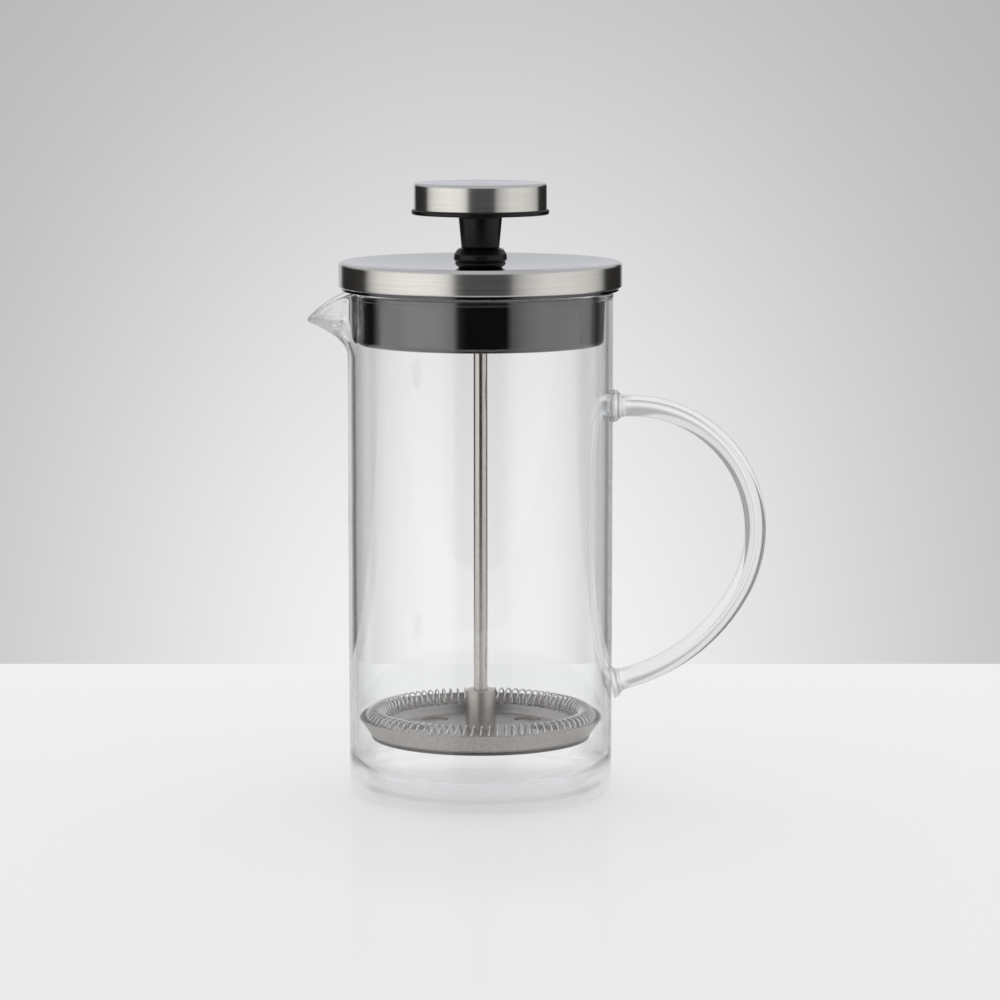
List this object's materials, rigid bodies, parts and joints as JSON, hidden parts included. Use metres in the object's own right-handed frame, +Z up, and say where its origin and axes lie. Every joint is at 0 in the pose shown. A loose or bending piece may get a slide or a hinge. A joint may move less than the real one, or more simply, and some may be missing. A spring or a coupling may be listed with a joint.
{
  "type": "french press",
  "caption": "Cylindrical glass coffee press with bent glass handle, pouring lip, dished steel lid, knob plunger and spring-edged mesh filter.",
  "frame": {"origin": "centre of the beaker's base, on the surface it stands on", "axes": "+Z up the beaker's axis, +X towards the handle, -X towards the pouring lip"},
  "size_m": [0.1336, 0.0822, 0.1785],
  "materials": {
    "clear_glass": "clear, fire-polished",
    "brushed_cover": "brushed round the axis",
    "polished_plug": "polished",
    "black_plastic": "satin",
    "black_disc": "satin",
    "silicone": "matte",
    "white_bush": "matte",
    "brass": "turned",
    "brushed_rod": "ground, fine brushing round the rod",
    "hub_steel": "turned",
    "pressed_steel": "pressed sheet",
    "spring_wire": "bright drawn wire",
    "woven_mesh": "fine woven steel",
    "dark_plate": "pressed sheet"
  },
  "bodies": {
    "beaker": {"glass_beaker": "clear_glass", "glass_handle": "clear_glass"},
    "lid": {"lid_cover": "brushed_cover", "lid_plug": "polished_plug", "lid_collar": "black_plastic", "collar_ring": "black_plastic", "floor_washer": "silicone", "collar_nut": "pressed_steel"},
    "rod_guide": {"rod_bush": "white_bush"},
    "plunger": {"knob_cap": "brushed_cover", "knob_disc": "black_disc", "knob_stem": "black_plastic", "knob_insert": "brass", "plunger_rod": "brushed_rod", "filter_hub": "hub_steel"},
    "filter": {"spring_plate": "pressed_steel", "coil_spring": "spring_wire", "mesh_screen": "woven_mesh"},
    "bottom_plate": {"cross_plate": "dark_plate", "cross_plate_stud": "pressed_steel"}
  },
  "joints": [
    {"name": "lid_lift", "type": "slide", "parent": "beaker", "child": "lid", "axis": [0, 0, 1], "range_m": [0, 0.15]},
    {"name": "plunger_turn", "type": "hinge", "parent": "lid", "child": "rod_guide", "pos_m": [0, 0, 0.1532], "axis": [0, 0, 1], "continuous": true},
    {"name": "plunger_slide", "type": "slide", "parent": "rod_guide", "child": "plunger", "axis": [0, 0, 1], "range_m": [0, 0.098]},
    {"name": "filter_drop", "type": "slide", "parent": "plunger", "child": "filter", "axis": [0, 0, -1], "range_m": [0, 0.0064]},
    {"name": "filter_unscrew", "type": "hinge", "parent": "filter", "child": "bottom_plate", "pos_m": [0, 0, 0.0167], "axis": [0, 0, -1], "range_deg": [0, 2880]}
  ],
  "couplings": [
    {"joint": "filter_drop", "follows": "filter_unscrew", "m_per_rad": 0.00012732}
  ]
}
